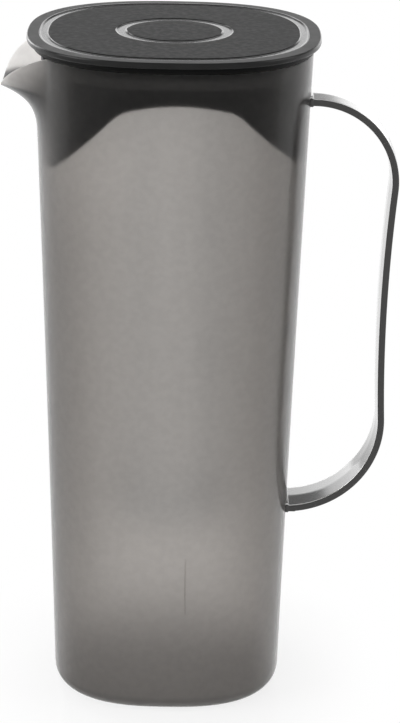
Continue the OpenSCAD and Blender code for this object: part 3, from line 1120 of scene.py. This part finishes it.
def looking(place: Point, aim: Point, turn: float = 0.0) -> Matrix:
    """Placement of a lamp or camera that looks at a point.

    Args:
        place: Where it stands.
        aim: Point that it looks at.
        turn: Turn about its own line of sight.

    Returns:
        The placement in metres.
    """
    at, to = Vector(place) * MM, Vector(aim) * MM
    facing = (to - at).to_track_quat("-Z", "Y").to_matrix().to_4x4()
    return Matrix.Translation(at) @ facing @ Matrix.Rotation(math.radians(turn), 4, "Z")


@dataclass(frozen=True)
class SoftBox:
    """A soft lamp: its place, aim and size, and its power in watts."""

    name: str
    place: Point
    aim: Point
    width: float
    height: float
    power: float

    def light(self) -> None:
        """Adds the lamp to the scene."""
        data = bpy.data.lights.new(self.name, "AREA")
        data.shape, data.size, data.size_y = "RECTANGLE", self.width * MM, self.height * MM
        data.energy = self.power
        lamp = bpy.data.objects.new(self.name, data)
        lamp.matrix_world = looking(self.place, self.aim)
        lamp.visible_camera = lamp.visible_transmission = False
        bpy.context.scene.collection.objects.link(lamp)


@dataclass(frozen=True)
class Flag:
    """An upright flag: its two side edges, its distance behind the middle, and its foot and top."""

    edges: Span
    behind: float
    heights: Span

    def corners(self) -> Array:
        """Two rows of two corner points."""
        x, z = np.meshgrid(self.edges, self.heights)
        return points(x, self.behind, z)


@dataclass
class Studio:
    """Pale floor, white surroundings, soft lamps and the photograph's camera."""

    camera_place: Point = (12.5, -927.76, 479.35)
    camera_aim: Point = (12.5, 0.0, 139.17)
    camera_turn: float = 1.0
    camera_near: float = 10.0
    focal_pixels: float = 2350.28
    frame_pixels: float = 723.0
    sensor: float = 36.0
    floor_half: float = 3000.0
    floor_drop: float = 0.3
    floor_tone: float = 0.96
    floor_roughness: float = 0.12
    floor_ior: float = 2.2
    floor_share: float = 0.8
    floor_through: float = 0.34
    floor_gloss: float = 1.0
    front_gloss: float = 0.5
    front_place: float = -50.0
    front_width: float = 140.0
    fade_squareness: float = 2.6
    fade_place: float = 74.0
    fade_width: float = 44.0
    walls: float = 0.5
    ambient: float = 0.5
    ceiling: float = 0.3
    ceiling_start: float = 0.42
    ceiling_width: float = 0.2
    card_tone: float = 0.1
    flags: tuple[Flag, ...] = (
        Flag((-400.0, -44.0), 76.0, (1.0, 200.0)),
        Flag((36.0, 400.0), 120.0, (1.0, 420.0)),
    )
    boxes: tuple[SoftBox, ...] = (
        SoftBox("left_softbox", (-1000.0, -350.0, 650.0), (0.0, 0.0, 150.0), 700.0, 1000.0, 8.0),
        SoftBox("right_softbox", (1050.0, -150.0, 600.0), (0.0, 0.0, 150.0), 700.0, 1000.0, 4.0),
        SoftBox("rim_softbox", (-900.0, 900.0, 520.0), (0.0, 0.0, 150.0), 700.0, 900.0, 6.0),
        SoftBox("back_softbox", (0.0, 1600.0, 355.0), (0.0, 0.0, 250.0), 3000.0, 670.0, 9.0),
        SoftBox("top_softbox", (0.0, 1000.0, 1250.0), (0.0, 0.0, 150.0), 1400.0, 700.0, 6.5),
    )

    def camera(self) -> None:
        """Adds the camera at the photograph's viewing angle."""
        data = bpy.data.cameras.new("photo_camera")
        data.sensor_width = self.sensor
        data.lens = self.focal_pixels * self.sensor / self.frame_pixels
        data.clip_start = self.camera_near * MM
        camera = bpy.data.objects.new("photo_camera", data)
        camera.matrix_world = looking(self.camera_place, self.camera_aim, self.camera_turn)
        bpy.context.scene.collection.objects.link(camera)
        bpy.context.scene.camera = camera

    @staticmethod
    def rays(shader: Shader) -> list[Value]:
        """Whether a ray comes from the eye, through plastic or from gloss."""
        kinds = ("Camera", "Transmission", "Glossy")
        return [shader.node("ShaderNodeLightPath", out=f"Is {kind} Ray") for kind in kinds]

    def world(self) -> None:
        """Makes the surroundings white to the eye and through plastic, and plain as a light.

        In gloss they are grey walls that end at a darker ceiling.
        """
        world = bpy.data.worlds.new("studio")
        bpy.context.scene.world = world
        shader = Shader(world)
        seen, through, glossy = self.rays(shader)
        white = seen.most(through)
        height = shader.axes("Generated")[2].over(self.ceiling_start, self.ceiling_width)
        walls = self.walls - height * (self.walls - self.ceiling)
        strength = white + (1 - white) * (glossy * walls + (1 - glossy) * self.ambient)
        sky = shader.node("ShaderNodeBackground", {}, {"Color": WHITE, "Strength": strength})
        shader.node("ShaderNodeOutputWorld", {}, {"Surface": sky})

    def floor(self) -> None:
        """Lays the pale floor, with the object's soft shadow and a faint reflection.

        To the eye it fades to white away from the object, where the distance is (|x|^n + |y|^n)^(1/n). In
        gloss it is white at the back and darker in front, and through plastic it is partly white.
        """
        material = bpy.data.materials.new("pale_floor")
        shader = Shader(material)
        seen, through, glossy = self.rays(shader)
        plain = shader.node("ShaderNodeBsdfPrincipled", {}, {
            "Base Color": (*[self.floor_tone] * 3, 1.0),
            "Roughness": self.floor_roughness,
            "IOR": self.floor_ior,
        })
        x, y, _ = (axis * (1 / MM) for axis in shader.axes("Object"))
        n = self.fade_squareness
        away = ((abs(x) ** n + abs(y) ** n) ** (1 / n)).over(self.fade_place, self.fade_width)
        plainly = self.floor_share + (1 - self.floor_share) * away
        behind = y.over(self.front_place, self.front_width)
        shine = self.front_gloss + (self.floor_gloss - self.front_gloss) * behind
        share = (seen * plainly).most(through * self.floor_through).most(glossy)
        tone = shader.mix(glossy * (1 - shine), WHITE, BLACK)
        glow = shader.node("ShaderNodeEmission", {}, {"Color": tone, "Strength": 1.0})
        mixed = shader.node("ShaderNodeMixShader", {}, {0: share, 1: plain, 2: glow})
        shader.node("ShaderNodeOutputMaterial", {}, {"Surface": mixed})
        side = np.array([-self.floor_half, self.floor_half])
        corners = points(*np.meshgrid(side, side), -self.floor_drop)
        Skin().grid(corners, loop_columns=False).piece("pale_floor", material)

    def card(self) -> None:
        """Stands two grey flags behind the jug's sides, which show only through the frosted plastic as
        painted shade on those sides.
        """
        material = bpy.data.materials.new("grey_card")
        shader = Shader(material)
        # A dim grey glow: painted shade seen through the jug's sides.
        grey = shader.node("ShaderNodeEmission", {}, {"Color": WHITE, "Strength": self.card_tone})
        shader.node("ShaderNodeOutputMaterial", {}, {"Surface": grey})
        skin = Skin()
        for flag in self.flags:
            skin.grid(flag.corners(), loop_columns=False)
        card = skin.piece("grey_card", material)
        card.visible_camera = card.visible_diffuse = card.visible_glossy = card.visible_shadow = False

    def build(self) -> None:
        """Sets up the whole studio."""
        bpy.context.scene.view_settings.view_transform = "Standard"
        self.camera()
        self.world()
        self.floor()
        self.card()
        for box in self.boxes:
            box.light()


def main() -> None:
    """Builds every piece of the pitcher in order, then its studio."""
    logging.basicConfig(level=logging.INFO, format="%(name)s: %(message)s")
    black, clear = SKIRT_BLACK.material(), CLEAR_PLASTIC.material()
    jug = Jug(FROSTED_SMOKE.material())
    jug.shell()
    jug.mark()
    handle = Handle(jug, STRAP_SMOKE.material())
    handle.strap()
    handle.bracket("handle_upper_pad", handle.high, "handle_upper_bracket")
    handle.bracket("handle_lower_pad", handle.low, "handle_lower_bracket")
    lid = Lid(jug, SATIN_PLATE.material(), MATTE_INLAY.material(), black)
    lid.cover()
    lid.panel()
    lid.disc()
    lid.skirt()
    smooth_copy("lid_seal_band", "lid_seal", SILICONE_BLACK.material(), Body.LID, "silicone_black")
    smooth_copy("infuser_holder", "infuser_socket", black, Body.LID, "skirt_black")
    smooth_copy("infuser_tube", "infuser_basket", clear, Body.INFUSER, "clear_plastic")
    smooth_copy("infuser_end_cap", "infuser_cap", clear, Body.CAP, "clear_plastic")
    Studio().build()


if __name__ == "__main__":
    main()
